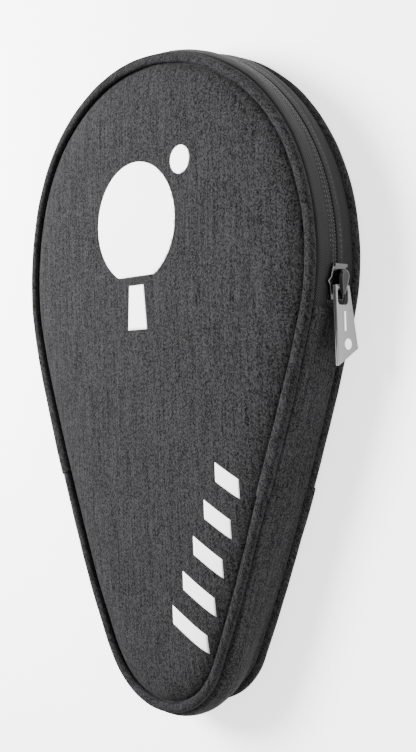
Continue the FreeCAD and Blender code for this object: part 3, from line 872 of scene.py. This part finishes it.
GUSSET_FOAM = 3.3 * MM
GUSSET_HEM = 0.95 * MM
GUSSET_BELOW = 0.3 * MM
SIDE_BELLY = 0.55 * MM
TIP_BELLY = 3.4 * MM
TIP_BELLY_REACH = 75 * MM
BACK_CREASE = 1.1 * MM
BACK_CREASE_WIDE = 1.6 * MM
HEM_RISE = 0.38 * MM
HEM_MIDDLE = 2.4 * MM
HEM_REACH = 2.6 * MM
HEM_EDGE = 0.75 * MM
HEM_EDGE_REACH = 0.8 * MM
GUSSET_RIPPLE = 0.12 * MM
LINED_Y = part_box("gusset_lining")[1].y
S_LINED = case.s_at(LINED_Y)


def gusset_belly(share, s):
    """How far the padded wall stands out, over its height share (0 back seam, 1 front seam)."""
    at_tip = smooth(1.3 - np.abs(s) / TIP_BELLY_REACH)
    plain = np.sin(math.pi * share) ** 0.8
    pulled = np.sin(math.pi * share**1.5) - 0.55 * np.exp(-((share - 0.16) / 0.12) ** 2)
    return SIDE_BELLY * plain * (1 - at_tip) + TIP_BELLY * pulled * at_tip


def wall_rows(outer, inner, z):
    """One closed section from its outer and inner insets, both at heights z."""
    outer_rows = np.stack([outer, np.broadcast_to(z, outer.shape)], axis=2)
    inner_rows = np.stack([inner, np.broadcast_to(z, inner.shape)], axis=2)
    return np.concatenate([outer_rows, inner_rows[:, ::-1]], axis=1)


def gusset_section(s):
    """The padded wall round the tip: rows close together at its seams, and a hem at both ends."""
    even = np.linspace(0, 1, 34)
    share = smooth(smooth(even)) * 0.7 + even * 0.3
    z = BACK_SEAM - GUSSET_BELOW + share * (FRONT_SEAM + SEAM_RISE - BACK_SEAM + GUSSET_BELOW)
    edge = np.minimum(share, 1 - share) * (FRONT_SEAM - BACK_SEAM)
    depth = np.where(share > 0.5, CREASE, BACK_CREASE)
    reach = np.where(share > 0.5, CREASE_WIDE, BACK_CREASE_WIDE)
    tuck = depth * (1 - np.sqrt(np.clip(1 - (1 - np.clip(edge / reach, 0, 1)) ** 2, 0, 1)))
    stop = np.minimum(S_TAPE - s, S_TAPE + s)[:, None]
    hem = HEM_RISE * np.exp(-((stop - HEM_MIDDLE) / HEM_REACH) ** 2) * (stop >= 0)
    rolled = HEM_EDGE * (1 - np.sqrt(np.clip(stop / HEM_EDGE_REACH, 0, 1)))
    ripple = GUSSET_RIPPLE * waves(s, 31, 34 * MM)[:, None] * np.sin(math.pi * share)[None, :]
    belly = gusset_belly(share[None, :], s[:, None])
    quiet = smooth((stop - 3 * MM) / (18 * MM))
    leaning = wall_lean(s, z[None, :])
    outer = -GUSSET_PROUD + tuck[None, :] - (belly + ripple) * quiet - hem + rolled + leaning
    lined = smooth((S_LINED - np.abs(s)) / (5 * MM))[:, None]
    inner = GUSSET_HEM - GUSSET_PROUD + (GUSSET_FOAM - GUSSET_HEM) * lined + leaning
    return wall_rows(outer, np.maximum(inner, outer + 0.3 * MM), z)


gusset = sweep("gusset", with_fine_ends(-S_TAPE, S_TAPE, 1.6 * MM), gusset_section)
finish_piece(gusset, GUSSET_CLOTH, replaced=("gusset_fabric", "gusset_foam"))


WALL_LINING_LOW = BACK_SEAM + 0.6 * MM
WALL_LINING_HIGH = FRONT_SEAM - 0.1 * MM
WALL_LINING_GAP = 0.05 * MM
WALL_LINING_THICK = 0.55 * MM
WALL_LINING_SLACK = 0.35 * MM
WALL_LINING_ROWS = 12


def gusset_lining_section(s):
    """The wall's lining: a strip with a little slack between its two seams."""
    z = np.linspace(WALL_LINING_LOW, WALL_LINING_HIGH, WALL_LINING_ROWS)
    arch = np.sin(math.pi * np.linspace(0, 1, WALL_LINING_ROWS))
    slack = WALL_LINING_SLACK * arch * (1 + 0.4 * waves(s, 41, 30 * MM)[:, None])
    outer = GUSSET_FOAM - GUSSET_PROUD + WALL_LINING_GAP + wall_lean(s, z[None, :])
    return wall_rows(outer, outer + WALL_LINING_THICK + slack, z)


gusset_lining = sweep("gusset_lining_cloth", places(-S_LINED, S_LINED, 3 * MM),
                      gusset_lining_section)
finish_piece(gusset_lining, LINING_CLOTH, replaced=("gusset_lining",))


# ---------------------------------------------------------------- zip tapes, coils and stitches

TAPE_THICK = 0.6 * MM
SLIT_HALF = 0.42 * MM
RAISED = 0.25 * MM
RAISED_WIDTH = 3.2 * MM
S_TUCK = S_LINED + 1 * MM
FULLNESS = 1.8 * MM
FULL_MIDDLE = 350 * MM
FULL_REACH = 100 * MM
TAPE_EDGE = 0.45 * MM
BACK_TAPE_DIP = 0.6 * MM
TAPE_SWAY = 0.10 * MM
UNDER_HEM = 0.3 * MM


def tape_width(side):
    """From the slit's middle to the tape's turn at its seam. Above 0 is the front side."""
    return FRONT_SEAM + SEAM_RISE - SLIT_Z if side > 0 else SLIT_Z - BACK_SEAM + GUSSET_BELOW


def fullness(s, share):
    """How far a tape stands out near the top of the head, from the slit (0) to its seam (1)."""
    amount = FULLNESS * smooth(1 - np.abs(s - FULL_MIDDLE) / FULL_REACH)
    return amount * np.sin(math.pi * np.clip(share, 0, 1) ** 1.6)


def tape_section(side):
    """side 1 is the tape on the front seam, -1 the one on the back seam."""
    width = tape_width(side)
    steps = np.array([0.0, 0.05, 0.14, 0.28, 0.5, 0.9, 1.5, 2.2, 2.8, 3.2, 3.6, 4.4, 5.6, 7.0,
                      8.4, 9.0]) * MM
    last = np.array([1.0, 0.8, 0.6, 0.42, 0.28, 0.16, 0.07, 0.0]) * MM
    top = width - SLIT_HALF
    steps = np.concatenate([steps[steps < top - 1.2 * MM], top - last])

    def section(s):
        from_slit = steps[None, :]
        over = 1 - np.clip(from_slit / TAPE_EDGE, 0, 1)
        edge = TAPE_EDGE * (1 - np.sqrt(1 - over**2))
        raised = RAISED * (1 - smooth((from_slit - RAISED_WIDTH + 0.6 * MM) / (1.0 * MM)))
        turn = np.clip((top - from_slit) / CREASE_WIDE, 0, 1)
        seam_dip = (CREASE if side > 0 else BACK_TAPE_DIP) * (1 - np.sqrt(1 - (1 - turn) ** 2))
        sway = TAPE_SWAY * waves(s, 51 + side, 40 * MM)[:, None]
        outer = edge - raised + seam_dip + sway * np.sin(math.pi * from_slit / width)
        outer = outer - fullness(s[:, None], from_slit / top)
        under = smooth(((S_TAPE - np.minimum(s, case.length - s)) / (3 * MM)))[:, None]
        z = SLIT_Z + side * (SLIT_HALF + steps)
        leaning = wall_lean(s, z[None, :])
        outer = outer + UNDER_HEM * under + leaning
        return wall_rows(outer, np.maximum(outer, leaning) + TAPE_THICK, z)

    return section


tape_places = places(S_TUCK, case.length - S_TUCK, 1.4 * MM)
front_tape = sweep("front_zip_tape", tape_places, tape_section(1))
finish_piece(front_tape, TAPE_CLOTH, lid=True, replaced=(
    "front_zip_tape_lid", "front_zip_tape_end_left", "front_zip_tape_end_right"))
back_tape = sweep("back_zip_tape_cloth", tape_places, tape_section(-1))
finish_piece(back_tape, TAPE_CLOTH, replaced=("back_zip_tape",))

COIL_PITCH = 1.35 * MM
COIL_WIRE = 0.21 * MM
COIL_INSET = 0.90 * MM
COIL_DEEP = 0.52 * MM
COIL_REACH = 1.22 * MM
COIL_OVER = 0.24 * MM


def tube(name, path, across, radius, around=6):
    """A closed-ended tube along a path of points, with a steady direction for its section."""
    forward = np.gradient(path, axis=0)
    forward /= np.linalg.norm(forward, axis=1, keepdims=True)
    side = np.cross(forward, across)
    side /= np.linalg.norm(side, axis=1, keepdims=True)
    up = np.cross(side, forward)
    angle = np.arange(around) * 2 * math.pi / around
    ring = np.cos(angle)[None, :, None] * side[:, None] + np.sin(angle)[None, :, None] * up[:, None]
    points = (path[:, None] + ring * radius).reshape(-1, 3)
    faces = [
        (i * around + j, (i + 1) * around + j, (i + 1) * around + (j + 1) % around,
         i * around + (j + 1) % around)
        for i in range(len(path) - 1)
        for j in range(around)
    ]
    faces.append(tuple(range(around)))
    faces.append(tuple((len(path) - 1) * around + j for j in range(around)))
    uvs = [(0.0, 0.0)] * sum(len(face) for face in faces)
    return outward(mesh_object(name, points, faces, uvs))


def coil(name, side):
    """A zip's nylon coil: flattened turns that reach just past the slit to mesh with the other."""
    start, stop = S_TUCK + 6 * MM, case.length - S_TUCK - 6 * MM
    turns = int((stop - start) / COIL_PITCH)
    steps = 14
    t = np.arange(turns * steps + 1) / steps
    angle = 2 * math.pi * (t + (0.5 if side > 0 else 0.0))
    s = start + t * (stop - start) / turns
    c, n = np.cos(angle), np.sin(angle)
    inset = COIL_INSET - COIL_DEEP * np.sign(n) * np.abs(n) ** 0.8
    z = SLIT_Z + side * (COIL_REACH - COIL_OVER - COIL_REACH * np.sign(c) * np.abs(c) ** 0.85)
    spot, _ = case.at(s, inset)
    path = np.column_stack([spot, z])
    _, normal = case.at(s)
    along = np.column_stack([-normal[:, 1], normal[:, 0], np.zeros(len(s))])
    return tube(name, path, along, COIL_WIRE)


# The coils wear the lightened nylon, which is partly painted highlight.
front_coil = coil("front_zip_coil", 1)
finish_piece(front_coil, COIL_NYLON_AND_GLINT, lid=True, replaced=(
    "front_zip_coil_lid", "front_zip_coil_end_left", "front_zip_coil_end_right"))
back_coil = coil("back_zip_coil_wire", -1)
finish_piece(back_coil, COIL_NYLON_AND_GLINT, replaced=("back_zip_coil",))


STITCH_SUNK = 0.05 * MM
STITCH_RADIUS = 0.14 * MM


def stitches(name, rows, slant):
    """Rows of small stitches, each sunk half into the tape.

    A row is its distance from the slit, the stitches' lift, their pitch and their length.
    """
    found = []
    for distance, lift, pitch, length in rows:
        share = (abs(distance) - SLIT_HALF) / (tape_width(distance) - SLIT_HALF)
        s = np.arange(S_TAPE + 2 * MM, case.length - S_TAPE - 2 * MM, pitch)
        for k, place in enumerate(s):
            t = np.linspace(-0.5, 0.5, 5)
            here = place + t * length
            rise = lift * (1 - (2 * t) ** 2) - STITCH_SUNK
            z = SLIT_Z + distance + slant * t * length
            shift = np.diag(wall_lean(here, z[None, :])) - fullness(here, share)
            spot, normal = case.at(here, shift - rise)
            path = np.column_stack([spot, z])
            across = np.column_stack([normal, np.zeros(len(t))])
            found.append(tube(f"{name}_{k}", path, across, STITCH_RADIUS, 5))
    return join(name, found)


front_stitches = stitches("front_zip_stitches", (
    (2.3 * MM, 0.30 * MM, 1.9 * MM, 1.25 * MM), (3.5 * MM, 0.12 * MM, 1.9 * MM, 1.25 * MM)), 0.0)
finish_piece(front_stitches, THREAD_NYLON, lid=True)
back_stitches = stitches("back_zip_stitches", ((-2.7 * MM, 0.26 * MM, 2.1 * MM, 1.3 * MM),), 0.7)
finish_piece(back_stitches, THREAD_NYLON)


BINDING_INSET = 1.7 * MM
BINDING_HALF_DEEP = 0.9 * MM
BINDING_HALF_HIGH = 1.25 * MM


def binding_section(side):
    """A ribbon folded over the raw seam inside the case."""
    seam = FRONT_SEAM - 0.1 * MM if side > 0 else BACK_SEAM + 0.1 * MM

    def section(s):
        c, n = oval(14, 2.6)
        bulge = (1 + 0.08 * waves(s, 61 + side, 20 * MM))[:, None]
        inset = BINDING_INSET + BINDING_HALF_DEEP * c[None, :] * bulge
        z = seam - side * BINDING_HALF_HIGH + BINDING_HALF_HIGH * n[None, :] * bulge
        inset = inset + wall_lean(s, z)
        return np.stack([inset, z], axis=2)

    return section


binding_places = places(S_TUCK, case.length - S_TUCK, 2 * MM)
front_binding = sweep("front_seam_ribbon", binding_places, binding_section(1))
finish_piece(front_binding, BINDING_CLOTH, lid=True, replaced=(
    "front_seam_binding_lid", "front_seam_binding_end_left", "front_seam_binding_end_right"))
back_binding = sweep("back_seam_ribbon", binding_places, binding_section(-1))
finish_piece(back_binding, BINDING_CLOTH, replaced=("back_seam_binding",))


# ---------------------------------------------------------------- prints on the front panel

PRINT_FILM = 0.15 * MM
PRINT_EDGE = 1.6 * MM
graph = bpy.context.evaluated_depsgraph_get()
panel_surface = BVHTree.FromObject(front_panel, graph)


def draped_print(name, node):
    """The node's printed shape, laid over the padded panel."""
    bm = bmesh.new()
    bm.from_mesh(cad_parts[node].data)
    _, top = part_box(node)
    low = [f for f in bm.faces if f.normal.z < 0.9 or f.calc_center_median().z < top.z - 0.02 * MM]
    bmesh.ops.delete(bm, geom=low, context="FACES")
    bmesh.ops.remove_doubles(bm, verts=bm.verts, dist=0.005 * MM)
    for _ in range(7):
        too_long = [e for e in bm.edges if e.calc_length() > PRINT_EDGE]
        if not too_long:
            break
        bmesh.ops.subdivide_edges(bm, edges=too_long, cuts=1)
        bmesh.ops.triangulate(bm, faces=bm.faces)
        bmesh.ops.beautify_fill(bm, faces=bm.faces, edges=bm.edges)
    for vertex in bm.verts:
        height = height_on(panel_surface, vertex.co.x, vertex.co.y)
        vertex.co.z = top.z if height is None else height + PRINT_FILM
    mesh = bpy.data.meshes.new(name)
    bm.to_mesh(mesh)
    bm.free()
    obj = bpy.data.objects.new(name, mesh)
    bpy.context.scene.collection.objects.link(obj)
    thicken(obj, PRINT_FILM * 1.6, -1)
    flat_uv(obj)
    finish_piece(outward(obj), WHITE_INK, replaced=(node,), lid=True)


for part in ("blade", "ball", "handle", "bars"):
    draped_print(f"{part}_print", f"print_{part}")


# ---------------------------------------------------------------- hard parts kept from the frame


def dress(node, paint, bevel=0.0):
    """A kept node's material, with its edges broken so that they catch the light."""
    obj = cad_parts[node]
    if not obj.material_slots:
        obj.data.materials.append(paint)
    for slot in obj.material_slots:
        slot.material = paint
    if bevel:
        modifier = obj.modifiers.new("edges", "BEVEL")
        modifier.width = bevel
        modifier.segments = 2
        modifier.limit_method = "ANGLE"
        modifier.angle_limit = math.radians(35)


dress("slider_body", SLIDER_METAL, 0.07 * MM)
dress("slider_cap", CAP_METAL, 0.45 * MM)
dress("slider_lock_spring", STEEL)
dress("pull_tab", TAB_METAL, 0.12 * MM)
dress("pull_tab_print", WHITE_INK)
dress("zip_stop_left", STEEL, 0.1 * MM)
dress("zip_stop_right", STEEL, 0.1 * MM)


# ---------------------------------------------------------------- floor, lights and camera

WHITE = (1, 1, 1, 1)
FLOOR_HALF = 15
FLOOR_GLOW = 1.8
WORLD_LIGHT = 0.8

corners = [(FLOOR_HALF * x, FLOOR_HALF * y, 0) for x, y in ((-1, -1), (1, -1), (1, 1), (-1, 1))]
floor = mesh_object("floor", corners, [(0, 1, 2, 3)], shade=False)
floor_paint = Paint("floor_paint", Roughness=0.9, Emission_Color=WHITE,
                    Emission_Strength=FLOOR_GLOW)
speck = floor_paint.noise(floor_paint.point(), scale=3.0, detail=2.0)
floor_paint.colour(floor_paint.mix(speck, grey(0.88), grey(0.92)))
floor.data.materials.append(floor_paint.material)

world = bpy.data.worlds.new("studio")
world.use_nodes = True
background = world.node_tree.nodes["Background"]
background.inputs["Color"].default_value = WHITE
background.inputs["Strength"].default_value = WORLD_LIGHT
bpy.context.scene.world = world


def softbox(name, place, aim, size, power):
    light = bpy.data.lights.new(name, "AREA")
    light.shape = "DISK"
    light.size = size
    light.energy = power
    obj = bpy.data.objects.new(name, light)
    obj.location = place
    obj.rotation_euler = (Vector(aim) - Vector(place)).to_track_quat("-Z", "Y").to_euler()
    bpy.context.scene.collection.objects.link(obj)


softbox("key", (-0.42, 0.21, 0.54), (0, 0, 0.03), 0.36, 27.5)
softbox("fill", (0.62, 0.16, 0.34), (0.08, 0.03, 0.015), 0.16, 1.15)

lens = bpy.data.cameras.new("camera")
lens.lens = 40.57
lens.sensor_width = 36.0
camera = bpy.data.objects.new("camera", lens)
camera.location = (0.29343, 0.00914, 0.27470)
camera.rotation_euler = [math.radians(a) for a in (-2.682, 45.931, -2.358)]
bpy.context.scene.collection.objects.link(camera)
bpy.context.scene.camera = camera
